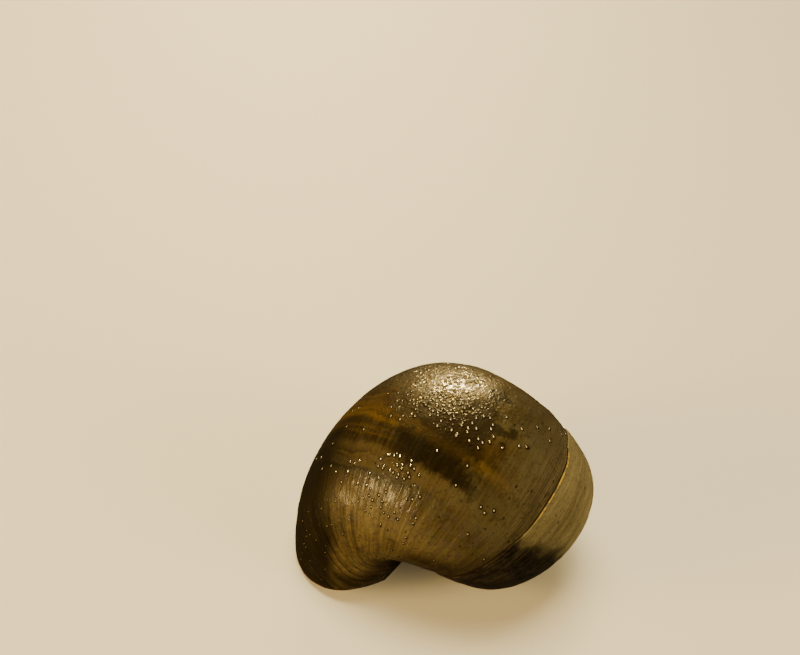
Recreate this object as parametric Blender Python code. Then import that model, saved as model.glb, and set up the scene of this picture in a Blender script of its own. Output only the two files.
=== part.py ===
"""An apple snail at rest, drawn back into its shell behind the operculum.

The shell is a right-handed coil that grows by a fixed ratio each turn. Every piece of it is a
loft of rings, and each ring is the section of the whorl at one turn angle: an oval, less the
older whorl that it leans on. Turn angles are in radians, 0 at the lip and negative towards the
apex. The sections are drawn in the shell's own frame, with its axis along Z and the apex at the
origin, and one empty lays the whole shell on the floor with its mouth down.
"""

import math

import bmesh
import bpy
from mathutils import Matrix, Vector

TURN = 2 * math.pi

# How the shell coils
WHORL_RATIO = 1.973  # size of each whorl against the one before it
WHORL_HALF_WIDTH = 0.01743  # of the oval section at the mouth
WHORL_HALF_HEIGHT = 0.02676
WHORL_OUT = 0.01582  # from the shell's axis to the middle of the oval
WHORL_DOWN = 0.03467  # from the apex down to the middle of the oval
WHORL_TILT = -0.1056  # of the oval in its own plane
GROWTH_LINE_LEAN = 0.153  # how far the top of a growth line runs ahead of its middle
UMBILICUS_RADIUS = 0.0012
LIP_FLARE = 0.0010  # how far the last part of the outer wall swings out
LIP_FLARE_LENGTH = 0.7

# Where the shell is divided
MOUTH = -0.06
OLD_LIP = -2.842  # a former lip, left as a line where growth stopped for a season
BODY_WHORL_START = -(TURN + 0.5)
PENULTIMATE_START = BODY_WHORL_START - TURN
SPIRE_START = PENULTIMATE_START - TURN
APEX_START = SPIRE_START - TURN

# Walls and gaps
GAP = 0.0003
START_GAP = 0.0006  # to the older whorl at a start, where the coil turns sharply near its axis
WALL = 0.0012
LIP_EDGE = 0.0006
LIP_WIDTH = 0.0022
OLD_LIP_STEP = 0.00035
OLD_LIP_FADE = 0.35  # radians over which the newer shell swells back to full size

# The mouth's closure
FOOT_BACK = -0.78
FOOT_FRONT = -0.27
FOOT_RIM_WIDTH = 0.0009
FOOT_RIM_HEIGHT = 0.0010
OPERCULUM_THICKNESS = 0.0012
OPERCULUM_RIDGES = 5
OPERCULUM_EDGE_RINGS = 4  # of its rings, those that follow its edge
OPERCULUM_RIDGE_HEIGHT = 0.00022
NUCLEUS = Vector((0.023, -0.041))  # the operculum's oldest point, at full size in its section

# The first whorl's rounded tip
TIP_RADIUS = 0.0018
TIP_HALF_HEIGHT = 0.0014
TIP_DOWN = 0.0017

# How the shell lies, in degrees, and how much of each low point is worn flat
APEX_AZIMUTH = 52.811
APEX_ELEVATION = 20.246
SHELL_SPIN = 66.874
FLAT_DEPTH = 0.0004

GROWTH_RATE = math.log(WHORL_RATIO) / TURN

TIGHT_RADIUS = 0.009

# A flat end is closed by rings that draw in along the section, then by a point in its heart
END_INSET = 0.005
HEART = Vector((0.025, -0.040))
COLUMELLA_POINTS = 2


def material(name, colour, roughness):
    """A plain Principled finish."""
    made = bpy.data.materials.new(name)
    made.use_nodes = True
    shader = made.node_tree.nodes["Principled BSDF"]
    shader.inputs["Base Color"].default_value = (*colour, 1)
    shader.inputs["Roughness"].default_value = roughness
    return made


def oval(angle, swell=0.0, size=1.0):
    """The point (out, up) at an angle on the whorl's oval, swollen by a distance."""
    across = (WHORL_HALF_WIDTH * size + swell) * math.cos(angle)
    along = (WHORL_HALF_HEIGHT * size + swell) * math.sin(angle)
    out = WHORL_OUT * size + across * math.cos(WHORL_TILT) - along * math.sin(WHORL_TILT)
    up = -WHORL_DOWN * size + across * math.sin(WHORL_TILT) + along * math.cos(WHORL_TILT)
    return Vector((out, up))


def angle_on_older(point, swell):
    """Where a point lies round the older whorl's oval, and how far out of it (1 is on it)."""
    size = 1 / WHORL_RATIO
    offset = point - Vector((WHORL_OUT, -WHORL_DOWN)) * size
    across = offset.x * math.cos(WHORL_TILT) + offset.y * math.sin(WHORL_TILT)
    along = offset.y * math.cos(WHORL_TILT) - offset.x * math.sin(WHORL_TILT)
    across /= WHORL_HALF_WIDTH * size + swell
    along /= WHORL_HALF_HEIGHT * size + swell
    return math.atan2(along, across), math.hypot(across, along)


def crossing(test, low, high):
    """The angle between low and high where test turns true."""
    for _ in range(40):
        middle = (low + high) / 2
        if test(middle):
            high = middle
        else:
            low = middle
    return (low + high) / 2


def section(turn, inset, gap, outer_count, inner_count, step=0.0):
    """The closed outline (out, up) of a whorl at a turn angle, at full size.

    It runs from the suture round the outer wall to the umbilicus, then back along the wall that
    leans on the older whorl. Inset and gap are real distances, so they are scaled up here.
    """
    scale = math.exp(GROWTH_RATE * turn)
    shrink = (inset + step) / scale
    swell = (gap + inset) / scale
    umbilicus = UMBILICUS_RADIUS + inset / scale
    flare = LIP_FLARE * max(0.0, 1 + turn / LIP_FLARE_LENGTH) ** 2

    def outer(angle):
        bulge = flare * max(0.0, math.cos(angle))
        return oval(angle, -shrink) + Vector((math.cos(angle), math.sin(angle))) * bulge

    suture = crossing(lambda a: angle_on_older(outer(a), swell)[1] < 1, 0.2, 2.6)
    base = -crossing(lambda a: outer(-a).x < umbilicus, 1.4, 3.1)
    tuck = -crossing(lambda a: oval(-a, swell, 1 / WHORL_RATIO).x < umbilicus, 1.0, 3.1)
    meet = angle_on_older(outer(suture), swell)[0]
    wall = [outer(suture + (base - suture) * i / (outer_count - 1)) for i in range(outer_count)]
    inner = [oval(tuck + (meet - tuck) * i / inner_count, swell, 1 / WHORL_RATIO) for i in range(inner_count)]
    spaces = COLUMELLA_POINTS + 1
    columella = [wall[-1].lerp(inner[0], (i + 1) / spaces) for i in range(COLUMELLA_POINTS)]
    return wall + columella + inner


def on_shell(turn, point):
    """A section's point placed in the shell, with the lean of the growth lines."""
    lean = GROWTH_LINE_LEAN * (point.y + WHORL_DOWN) / WHORL_HALF_HEIGHT
    angle = turn + lean
    scale = math.exp(GROWTH_RATE * angle)
    return Vector((point.x * math.cos(angle), -point.x * math.sin(angle), point.y)) * scale


def forward(turn):
    """The direction of growth at a turn angle."""
    return Vector((-math.sin(turn), -math.cos(turn), 0))


def whorl_ring(turn, counts, inset=0.0, gap=GAP, ahead=0.0, step=0.0):
    """A section's ring in the shell, moved ahead by a distance along the growth."""
    outline = section(turn, inset, gap, *counts, step=step)
    return [on_shell(turn, point) + forward(turn) * ahead * near_axis(point, ahead) for point in outline]


def near_axis(point, ahead):
    """The share of a long step ahead that a point takes: less by the axis, where the coil is tight."""
    return 1.0 if ahead <= GAP else min(1.0, point.x / TIGHT_RADIUS)


def end_rings(turn, counts, inset=0.0, gap=GAP, ahead=0.0, step=0.0):
    """The rings that draw in across a flat end."""
    deepest = END_INSET * math.exp(GROWTH_RATE * turn)
    insets = (inset + (deepest - inset) * share for share in (0.5, 1.0))
    return [whorl_ring(turn, counts, each, gap, ahead, step) for each in insets]


def heart_of(turn, ahead=0.0):
    """The point that closes a flat end."""
    return on_shell(turn, HEART) + forward(turn) * ahead


def turns_between(start, end, most):
    """Turn angles after start, up to and with end, in steps of at most the given size."""
    count = math.ceil((end - start) / most)
    return [start + (end - start) * (i + 1) / count for i in range(count)]


def extend(mesh, ring, points):
    """Extrude a closed ring of vertices on to new points, and give the new ring."""
    edges = [mesh.edges.get((ring[i - 1], vertex)) for i, vertex in enumerate(ring)]
    made = bmesh.ops.extrude_edge_only(mesh, edges=edges)["geom"]
    fresh = {item for item in made if isinstance(item, bmesh.types.BMVert)}
    following = []
    for vertex, point in zip(ring, points):
        twin = next(e.other_vert(vertex) for e in vertex.link_edges if e.other_vert(vertex) in fresh)
        twin.co = point
        following.append(twin)
    return following


def close(mesh, ring, point):
    """Draw a ring together into one vertex at a point."""
    last = extend(mesh, ring, [point] * len(ring))
    bmesh.ops.pointmerge(mesh, verts=last, merge_co=point)


def loft(name, rings, first_point, last_point):
    """A closed mesh through rings of the same count, closed at a point at each end."""
    mesh = bmesh.new()
    ring = bmesh.ops.create_circle(mesh, segments=len(rings[0]), radius=1)["verts"]
    for vertex, point in zip(ring, rings[0]):
        vertex.co = point
    start = ring
    for points in rings[1:]:
        ring = extend(mesh, ring, points)
    close(mesh, ring, last_point)
    close(mesh, start, first_point)
    bmesh.ops.recalc_face_normals(mesh, faces=mesh.faces)
    data = bpy.data.meshes.new(name)
    mesh.to_mesh(data)
    mesh.free()
    data.shade_smooth()
    data.set_sharp_from_angle(angle=math.radians(35))
    return bpy.data.objects.new(name, data)


def add_node(made, finish, collection, carrier):
    """Put a piece in the model, with its finish, on the shell's axis."""
    made.data.materials.clear()
    made.data.materials.append(finish)
    made.parent = carrier
    collection.objects.link(made)
    return made


def whorl(name, start, end, counts, most):
    """A solid length of the coil between two turn angles."""
    rings = end_rings(start, counts, gap=START_GAP, ahead=GAP)[::-1]
    rings.append(whorl_ring(start, counts, gap=START_GAP, ahead=GAP))
    rings += [whorl_ring(turn, counts) for turn in turns_between(start, end, most)]
    rings += end_rings(end, counts)
    return loft(name, rings, heart_of(start, GAP), heart_of(end))


def last_whorl(name, counts, most):
    """The newest shell, from the old lip to the mouth, hollow behind the mouth."""
    rings = end_rings(OLD_LIP, counts, gap=START_GAP, ahead=GAP, step=OLD_LIP_STEP)[::-1]
    rings.append(whorl_ring(OLD_LIP, counts, gap=START_GAP, ahead=GAP, step=OLD_LIP_STEP))
    for turn in turns_between(OLD_LIP, MOUTH, most):
        fade = max(0.0, 1 - (turn - OLD_LIP) / OLD_LIP_FADE)
        rings.append(whorl_ring(turn, counts, step=OLD_LIP_STEP * fade))
    hollow = [MOUTH] + turns_between(MOUTH, FOOT_BACK, -most)
    rings += [whorl_ring(turn, counts, inset=WALL) for turn in hollow]
    rings += end_rings(FOOT_BACK, counts, inset=WALL)
    return loft(name, rings, heart_of(OLD_LIP, GAP), heart_of(FOOT_BACK))


def lip(name, counts, start, end):
    """A stretch of the mouth's edge, between two places round its outline."""
    outer = section(MOUTH, 0.0, GAP, *counts)
    inner = section(MOUTH, WALL, GAP, *counts)
    edge = section(MOUTH, (WALL - LIP_EDGE) * 0.45, GAP, *counts)
    edge_inner = section(MOUTH, (WALL - LIP_EDGE) * 0.45 + LIP_EDGE, GAP, *counts)
    profile = (
        (outer, GAP),
        (outer, LIP_WIDTH * 0.55),
        (edge, LIP_WIDTH),
        (edge_inner, LIP_WIDTH),
        (inner, LIP_WIDTH * 0.45),
        (inner, GAP),
    )
    whole = range(math.ceil(start), math.floor(end) + 1)
    places = sorted({start, end, *(float(place) for place in whole)})

    def at(outline, place):
        before = math.floor(place)
        a, b = (outline[i % len(outline)] for i in (before, before + 1))
        return a.lerp(b, place - before)

    rings = [
        [on_shell(MOUTH, at(outline, place)) + forward(MOUTH) * ahead for outline, ahead in profile]
        for place in places
    ]
    ends = [sum(ring, Vector()) / len(ring) for ring in (rings[0], rings[-1])]
    return loft(name, rings, *ends)


def foot(name, counts, most):
    """The drawn-in foot, a plug with a low rim that holds the operculum."""
    inset = WALL + GAP
    rings = end_rings(FOOT_BACK, counts, inset=inset, ahead=GAP)[::-1]
    rings.append(whorl_ring(FOOT_BACK, counts, inset=inset, ahead=GAP))
    rings += [whorl_ring(turn, counts, inset=inset) for turn in turns_between(FOOT_BACK, FOOT_FRONT, most)]
    rings.append(whorl_ring(FOOT_FRONT, counts, inset=inset + FOOT_RIM_WIDTH * 0.3, ahead=FOOT_RIM_HEIGHT))
    rings.append(whorl_ring(FOOT_FRONT, counts, inset=inset + FOOT_RIM_WIDTH, ahead=FOOT_RIM_HEIGHT * 0.8))
    rings.append(whorl_ring(FOOT_FRONT, counts, inset=inset + FOOT_RIM_WIDTH))
    rings += end_rings(FOOT_FRONT, counts, inset=inset + FOOT_RIM_WIDTH)
    return loft(name, rings, heart_of(FOOT_BACK, GAP), heart_of(FOOT_FRONT))


def operculum(name, counts):
    """The door on the foot: a plate with growth ridges that draw in to its oldest point."""
    inset = WALL + FOOT_RIM_WIDTH + 2 * GAP
    face = GAP + OPERCULUM_THICKNESS - OPERCULUM_RIDGE_HEIGHT
    rings = end_rings(FOOT_FRONT, counts, inset=inset, ahead=GAP)[::-1]
    rings.append(whorl_ring(FOOT_FRONT, counts, inset=inset, ahead=GAP))
    rings.append(whorl_ring(FOOT_FRONT, counts, inset=inset, ahead=face))
    innermost = section(FOOT_FRONT, END_INSET, GAP, *counts)
    for i in range(2 * OPERCULUM_RIDGES):
        ahead = face + (OPERCULUM_RIDGE_HEIGHT if i % 2 else 0.0)
        drawn = inset + (END_INSET - inset) * (i + 1) / OPERCULUM_EDGE_RINGS
        if drawn <= END_INSET:
            rings.append(whorl_ring(FOOT_FRONT, counts, inset=drawn, ahead=ahead))
        else:
            size = 1 - (i + 1 - OPERCULUM_EDGE_RINGS) / (2 * OPERCULUM_RIDGES + 1 - OPERCULUM_EDGE_RINGS)
            points = (on_shell(FOOT_FRONT, NUCLEUS.lerp(point, size)) for point in innermost)
            rings.append([point + forward(FOOT_FRONT) * ahead for point in points])
    nucleus = on_shell(FOOT_FRONT, NUCLEUS) + forward(FOOT_FRONT) * face
    return loft(name, rings, heart_of(FOOT_FRONT, GAP), nucleus)


def apex(name, counts, most, workshop):
    """The first whorls and their rounded tip, fused into one piece."""
    halfway = (APEX_START + SPIRE_START) / 2
    overlap = 0.12
    sink = -0.0004
    spans = ((APEX_START, halfway + overlap), (halfway - overlap, SPIRE_START))
    pieces = []
    for start, end in spans:
        rings = end_rings(start, counts, gap=sink)[::-1]
        rings += [whorl_ring(turn, counts, gap=sink) for turn in [start] + turns_between(start, end, most)]
        rings += end_rings(end, counts, gap=sink)
        pieces.append(loft(f"{name}_length", rings, heart_of(start), heart_of(end)))
    mesh = bmesh.new()
    bmesh.ops.create_uvsphere(mesh, u_segments=20, v_segments=12, radius=1)
    shape = Matrix.Translation((0, 0, -TIP_DOWN)) @ Matrix.Diagonal((TIP_RADIUS, TIP_RADIUS, TIP_HALF_HEIGHT, 1))
    bmesh.ops.transform(mesh, matrix=shape, verts=mesh.verts)
    tip = bpy.data.meshes.new(f"{name}_tip")
    mesh.to_mesh(tip)
    mesh.free()
    pieces.append(bpy.data.objects.new(f"{name}_tip", tip))
    for piece in pieces:
        workshop.objects.link(piece)
    return fused(name, pieces)


def fused(name, pieces):
    """One closed mesh from overlapping closed pieces, which are then removed."""
    base = pieces[0]
    joined = bpy.data.collections.new(f"{name}_pieces")
    for piece in pieces[1:]:
        joined.objects.link(piece)
    union = base.modifiers.new("union", "BOOLEAN")
    union.operation = "UNION"
    union.operand_type = "COLLECTION"
    union.collection = joined
    union.solver = "MANIFOLD"
    bpy.context.view_layer.update()
    evaluated = base.evaluated_get(bpy.context.evaluated_depsgraph_get())
    data = bpy.data.meshes.new_from_object(evaluated)
    data.name = name
    keep_outside(data)
    made = bpy.data.objects.new(name, data)
    for piece in pieces:
        bpy.data.objects.remove(piece, do_unlink=True)
    bpy.data.collections.remove(joined)
    return made


def keep_outside(data):
    """Leave only the largest of a mesh's closed surfaces, so that no hollow is sealed in it."""
    mesh = bmesh.new()
    mesh.from_mesh(data)
    waiting = set(mesh.faces)
    surfaces = []
    while waiting:
        surface = {waiting.pop()}
        edge_of = list(surface)
        while edge_of:
            near = {other for edge in edge_of.pop().edges for other in edge.link_faces} & waiting
            waiting -= near
            surface |= near
            edge_of.extend(near)
        surfaces.append(surface)
    surfaces.sort(key=lambda surface: sum(face.calc_area() for face in surface))
    inner = [face for surface in surfaces[:-1] for face in surface]
    bmesh.ops.delete(mesh, geom=inner, context="FACES")
    mesh.to_mesh(data)
    mesh.free()


def settle(nodes, carrier):
    """Stand the shell on the floor, over the middle of its own footprint."""
    bpy.context.view_layer.update()
    corners = [node.matrix_world @ vertex.co for node in nodes for vertex in node.data.vertices]
    low = Vector(min(point[axis] for point in corners) for axis in range(3))
    high = Vector(max(point[axis] for point in corners) for axis in range(3))
    carrier.location.x -= (low.x + high.x) / 2
    carrier.location.y -= (low.y + high.y) / 2
    carrier.location.z -= low.z + FLAT_DEPTH


def wear_flat(nodes, workshop):
    """Cut the low points of the shell to small flats at the floor's level."""
    mesh = bmesh.new()
    bmesh.ops.create_cube(mesh, size=0.2)
    data = bpy.data.meshes.new("floor_cut")
    mesh.to_mesh(data)
    mesh.free()
    floor = bpy.data.objects.new("floor_cut", data)
    floor.location.z = -0.1
    floor.hide_render = True
    floor.display_type = "WIRE"
    workshop.objects.link(floor)
    bpy.context.view_layer.update()
    for node in nodes:
        lowest = min((node.matrix_world @ vertex.co).z for vertex in node.data.vertices)
        if lowest < 0:
            cut = node.modifiers.new("floor", "BOOLEAN")
            cut.operation = "DIFFERENCE"
            cut.object = floor


def lay_down():
    """The empty that carries the shell: its Z is the shell's axis, pointing at the apex."""
    carrier = bpy.data.objects.new("shell_axis", None)
    spin = Matrix.Rotation(math.radians(SHELL_SPIN), 4, "Z")
    lower = Matrix.Rotation(math.radians(90 - APEX_ELEVATION), 4, "Y")
    face = Matrix.Rotation(math.radians(APEX_AZIMUTH), 4, "Z")
    carrier.matrix_world = face @ lower @ spin
    return carrier


def build():
    """Make every node of the snail."""
    for item in list(bpy.data.objects):
        bpy.data.objects.remove(item, do_unlink=True)
    model = bpy.data.collections.new("apple_snail")
    workshop = bpy.data.collections.new("cutters")
    for collection in (model, workshop):
        bpy.context.scene.collection.children.link(collection)
    carrier = lay_down()
    model.objects.link(carrier)

    shell_brown = material("shell_olive_brown", (0.075, 0.042, 0.012), 0.25)
    spire_grey = material("spire_grey_brown", (0.11, 0.075, 0.035), 0.4)
    lip_amber = material("lip_amber", (0.36, 0.13, 0.02), 0.3)
    callus_pale = material("callus_pale", (0.42, 0.30, 0.17), 0.3)
    horn = material("operculum_horn", (0.20, 0.12, 0.05), 0.35)
    flesh = material("foot_flesh", (0.10, 0.075, 0.05), 0.35)

    body_counts = (26, 14)
    spire_counts = (20, 11)
    apex_counts = (15, 9)
    lip_start = 1.0
    lip_split = 17.0
    columella_top = body_counts[0] + 1.3
    lip_gap = 0.12
    pieces = (
        (apex("shell_apex", apex_counts, TURN / 18, workshop), spire_grey),
        (whorl("shell_spire_whorl", SPIRE_START, PENULTIMATE_START, spire_counts, TURN / 24), spire_grey),
        (whorl("shell_penultimate_whorl", PENULTIMATE_START, BODY_WHORL_START, spire_counts, TURN / 30), shell_brown),
        (whorl("shell_body_whorl_early", BODY_WHORL_START, OLD_LIP, body_counts, TURN / 44), shell_brown),
        (last_whorl("shell_body_whorl_late", body_counts, TURN / 44), shell_brown),
        (lip("shell_outer_lip", body_counts, lip_start, lip_split), lip_amber),
        (lip("shell_inner_lip", body_counts, lip_split + lip_gap, columella_top), callus_pale),
        (foot("foot", body_counts, TURN / 40), flesh),
        (operculum("operculum", body_counts), horn),
    )
    nodes = [add_node(piece, finish, model, carrier) for piece, finish in pieces]
    settle(nodes, carrier)
    wear_flat(nodes, workshop)


build()
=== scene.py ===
"""An apple snail drawn back into its shell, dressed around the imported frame.

The shell is one closed skin, wound from the apex to the lip by the same rule of growth as its
solids. Turn angles are in radians, 0 at the lip and negative towards the apex, and section angles
run round a whorl, from its suture over its side to its base. Both are kept on the mesh, so that
growth lines, spiral bands and zones of colour follow the shell. All lengths are in metres.
"""

from __future__ import annotations

import itertools
import logging
import math
from collections.abc import Callable
from dataclasses import dataclass, field
from enum import Enum

import bmesh
import bpy
import numpy as np
from mathutils import Euler, Matrix, Vector


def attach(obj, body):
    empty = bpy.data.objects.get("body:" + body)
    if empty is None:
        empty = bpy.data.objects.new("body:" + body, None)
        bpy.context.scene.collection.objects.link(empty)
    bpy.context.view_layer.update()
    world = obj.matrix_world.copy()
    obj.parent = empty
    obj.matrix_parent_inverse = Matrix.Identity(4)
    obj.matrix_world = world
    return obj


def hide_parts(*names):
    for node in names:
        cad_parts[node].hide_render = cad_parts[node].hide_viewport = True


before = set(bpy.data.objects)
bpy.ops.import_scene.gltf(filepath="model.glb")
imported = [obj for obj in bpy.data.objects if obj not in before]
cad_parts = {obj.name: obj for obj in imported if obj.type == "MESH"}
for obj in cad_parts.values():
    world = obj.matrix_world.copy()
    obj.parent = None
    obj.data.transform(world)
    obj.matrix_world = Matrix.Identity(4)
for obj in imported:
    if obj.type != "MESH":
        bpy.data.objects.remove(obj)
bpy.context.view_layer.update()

LOG = logging.getLogger("apple_snail")
TURN = 2 * math.pi
MM = 0.001
Array = np.ndarray
Socket = bpy.types.NodeSocket
Value = "Socket | float"


def screen(red: int, green: int, blue: int) -> tuple[float, float, float, float]:
    """A colour as seen on a screen, 0 to 255, in the shader's linear light.

    Args:
        red: Red, 0 to 255.
        green: Green, 0 to 255.
        blue: Blue, 0 to 255.

    Returns:
        Linear red, green and blue, and an opaque alpha.
    """
    steps = (channel / 255 for channel in (red, green, blue))
    return (*(s / 12.92 if s <= 0.04045 else ((s + 0.055) / 1.055) ** 2.4 for s in steps), 1.0)


def ease(value: Array, low: float, high: float) -> Array:
    """A soft step from 0 at low to 1 at high.

    Args:
        value: The numbers to step on.
        low: Where the step begins.
        high: Where it ends, which may be below low.

    Returns:
        The eased numbers, 0 to 1.
    """
    share = np.clip((value - low) / (high - low), 0, 1)
    return share * share * (3 - 2 * share)


class Slot(Enum):
    """The names of the record's material slots."""

    SHELL = "shell"
    FLESH = "flesh"
    OPERCULUM = "operculum"


class Track(Enum):
    """What the shell's mesh keeps at each point for its finishes."""

    TURN = "turn"
    AROUND = "around"
    GROWTH = "growth"
    SEAM = "seam"


@dataclass(frozen=True)
class Noise:
    """Smooth noise from -1 to 1 that is the same on every run."""

    seed: int

    def corner(self, cells: list[Array]) -> Array:
        """The random value at whole-number cells.

        Args:
            cells: One array of whole numbers for each axis.

        Returns:
            A value from -1 to 1 for each cell.
        """
        key = np.full(cells[0].shape, self.seed * 7919 + 17, np.uint64)
        for prime, cell in zip((73856093, 19349663, 83492791), cells):
            key ^= cell.astype(np.uint64) * np.uint64(prime)
            key = (key ^ (key >> np.uint64(13))) * np.uint64(0x9E3779B97F4A7C15)
        return ((key >> np.uint64(40)) & np.uint64(0xFFFF)).astype(float) / 32767.5 - 1

    def at(self, *axes: Array) -> Array:
        """The noise at points on one to three axes, with cells of size 1.

        Args:
            axes: The points' place on each axis.

        Returns:
            A value from -1 to 1 for each point.
        """
        lows = [np.floor(axis).astype(np.int64) for axis in axes]
        shares = [ease(axis - low, 0, 1) for axis, low in zip(axes, lows)]
        total = np.zeros(axes[0].shape)
        for ends in itertools.product((0, 1), repeat=len(axes)):
            weight = np.ones(axes[0].shape)
            for end, share in zip(ends, shares):
                weight *= share if end else 1 - share
            total += weight * self.corner([low + end for low, end in zip(lows, ends)])
        return total


@dataclass(frozen=True)
class Coil:
    """The shell's rule of growth: an oval section that swells by a fixed ratio each turn."""

    ratio: float = 1.973
    half_width: float = 17.43 * MM
    half_height: float = 26.76 * MM
    out: float = 15.82 * MM
    down: float = 34.67 * MM
    tilt: float = -0.1056
    lean: float = 0.153
    umbilicus: float = 1.2 * MM
    flare: float = 1.0 * MM
    flare_length: float = 0.7
    tight_radius: float = 9.0 * MM

    @property
    def rate(self) -> float:
        """How fast the shell grows with its turn angle."""
        return math.log(self.ratio) / TURN

    def scale(self, turn: Array) -> Array:
        """The shell's size at a turn angle, 1 at the lip."""
        return np.exp(self.rate * turn)

    def growth(self, turn: Array) -> Array:
        """The length grown along the whorl's side up to a turn angle."""
        return (self.out + self.half_width) / self.rate * self.scale(turn)

    def oval(self, angle: Array, swell: Array | float = 0.0, size: float = 1.0) -> Array:
        """Points out from the axis and up, on the section's oval.

        Args:
            angle: Section angles.
            swell: How far the oval is swollen.
            size: The oval's size, 1 for the whorl itself and less for an older one.

        Returns:
            The points, with out and up on the last axis.
        """
        across = (self.half_width * size + swell) * np.cos(angle)
        along = (self.half_height * size + swell) * np.sin(angle)
        out = self.out * size + across * math.cos(self.tilt) - along * math.sin(self.tilt)
        up = -self.down * size + across * math.sin(self.tilt) + along * math.cos(self.tilt)
        return np.stack([out, up], -1)

    def on_older(self, point: Array, swell: Array | float) -> tuple[Array, Array]:
        """Where points lie round the older whorl.

        Args:
            point: Points out and up, at full size.
            swell: How far the older whorl's oval is swollen.

        Returns:
            Their angles on the older oval, and how far out of it they are, 1 being on it.
        """
        size = 1 / self.ratio
        out = point[..., 0] - self.out * size
        up = point[..., 1] + self.down * size
        across = out * math.cos(self.tilt) + up * math.sin(self.tilt)
        along = up * math.cos(self.tilt) - out * math.sin(self.tilt)
        across = across / (self.half_width * size + swell)
        along = along / (self.half_height * size + swell)
        return np.arctan2(along, across), np.hypot(across, along)

    def skin(self, turn: Array, angle: Array, shrink: Array) -> Array:
        """Points of the whorl's own wall, out and up at full size, with the lip's flare.

        Args:
            turn: The points' turn angles.
            angle: Their angles round the section.
            shrink: How far they are drawn in.

        Returns:
            The points.
        """
        late = np.maximum(0, 1 + turn / self.flare_length) ** 2
        bulge = self.flare * late * np.maximum(0, np.cos(angle))
        return self.oval(angle, -shrink) + np.stack([np.cos(angle), np.sin(angle)], -1) * bulge[..., None]

    def place(self, turn: Array, point: Array, ahead: Array | float = 0.0) -> Array:
        """Full-size section points in the shell, with the lean of the growth lines.

        Args:
            turn: The points' turn angles.
            point: The points, out and up.
            ahead: How far they are moved on along the growth.

        Returns:
            The points in the shell's own frame.
        """
        angle = turn + self.lean * (point[..., 1] + self.down) / self.half_height
        scale = np.exp(self.rate * angle)
        spot = np.stack([point[..., 0] * np.cos(angle), -point[..., 0] * np.sin(angle), point[..., 1]], -1)
        step = np.asarray(ahead) * np.minimum(1, point[..., 0] / self.tight_radius)
        way = np.stack([-np.sin(turn), -np.cos(turn), np.zeros_like(turn)], -1)
        return spot * scale[..., None] + way * step[..., None]


def crossing(test: Callable[[Array], Array], low: float, high: float, shape: tuple[int, ...]) -> Array:
    """The angles between low and high where a test turns true, by halving.

    Args:
        test: Gives true or false for an array of angles.
        low: Where the test is still false.
        high: Where the test is true.
        shape: The shape of the array of angles.

    Returns:
        The angles.
    """
    lows, highs = np.full(shape, low), np.full(shape, high)
    for _ in range(40):
        middle = (lows + highs) / 2
        true = test(middle)
        highs, lows = np.where(true, middle, highs), np.where(true, lows, middle)
    return (lows + highs) / 2


@dataclass(frozen=True)
class Rings:
    """Closed section rings of the whorl, one for each turn angle.

    Each runs from the suture round the outer wall to the umbilicus, over the columella, and back
    along the wall that leans on the older whorl.
    """

    coil: Coil
    wall_points: int = 130
    columella_points: int = 6
    parietal_points: int = 34

    @property
    def count(self) -> int:
        """How many points a ring has."""
        return self.wall_points + self.columella_points + self.parietal_points

    def outline(self, turn: Array, inset: Array, gap: Array) -> tuple[Array, Array, Array]:
        """The rings' outlines at full size.

        Args:
            turn: The rings' turn angles.
            inset: How far each ring is drawn in, a real distance.
            gap: The room between each ring and the older whorl, below 0 where it is sunk in.

        Returns:
            The points out and up, their section angles, and each ring's suture angle.
        """
        coil = self.coil
        scale = coil.scale(turn)
        shrink, swell = inset / scale, (gap + inset) / scale
        umbilicus = coil.umbilicus + inset / scale
        shape = turn.shape
        suture = crossing(lambda a: coil.on_older(coil.skin(turn, a, shrink), swell)[1] < 1, 0.2, 2.6, shape)
        base = -crossing(lambda a: coil.skin(turn, -a, shrink)[..., 0] < umbilicus, 1.4, 3.1, shape)
        size = 1 / coil.ratio
        tuck = -crossing(lambda a: coil.oval(-a, swell, size)[..., 0] < umbilicus, 1.0, 3.1, shape)
        meet = coil.on_older(coil.skin(turn, suture, shrink), swell)[0]
        share = np.linspace(0, 1, self.wall_points)
        around = suture[:, None] + (base - suture)[:, None] * share
        wide = np.repeat(turn[:, None], self.wall_points, 1)
        wall = coil.skin(wide, around, shrink[:, None])
        back = np.arange(self.parietal_points) / self.parietal_points
        inner_angle = tuck[:, None] + (meet - tuck)[:, None] * back
        inner = coil.oval(inner_angle, swell[:, None], size)
        way = (np.arange(self.columella_points) + 1) / (self.columella_points + 1)
        columella = wall[:, -1:] + (inner[:, :1] - wall[:, -1:]) * way[None, :, None]
        points = np.concatenate([wall, columella, inner], 1)
        turned = np.concatenate([around, base[:, None] - way * 0.4, base[:, None] - 0.4 - back * 0.6], 1)
        return points, turned, suture


@dataclass(frozen=True)
class Stance:
    """How the shell lies on the floor, in degrees, and where its apex is."""

    apex_azimuth: float = 52.811
    apex_elevation: float = 20.246
    spin: float = 66.874
    apex: tuple[float, float, float] = (19.89987 * MM, 16.78257 * MM, 25.67755 * MM)

    def settle(self, points: Array) -> Array:
        """Points of the shell's own frame as they lie on the floor, worn flat where they meet it.

        Args:
            points: The points.

        Returns:
            The points in the shared frame.
        """
        turned = (
            Matrix.Rotation(math.radians(self.apex_azimuth), 3, "Z")
            @ Matrix.Rotation(math.radians(90 - self.apex_elevation), 3, "Y")
            @ Matrix.Rotation(math.radians(self.spin), 3, "Z")
        )
        laid = points @ np.array(turned).T + np.array(self.apex)
        laid[..., 2] = np.maximum(laid[..., 2], 0)
        return laid


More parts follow.
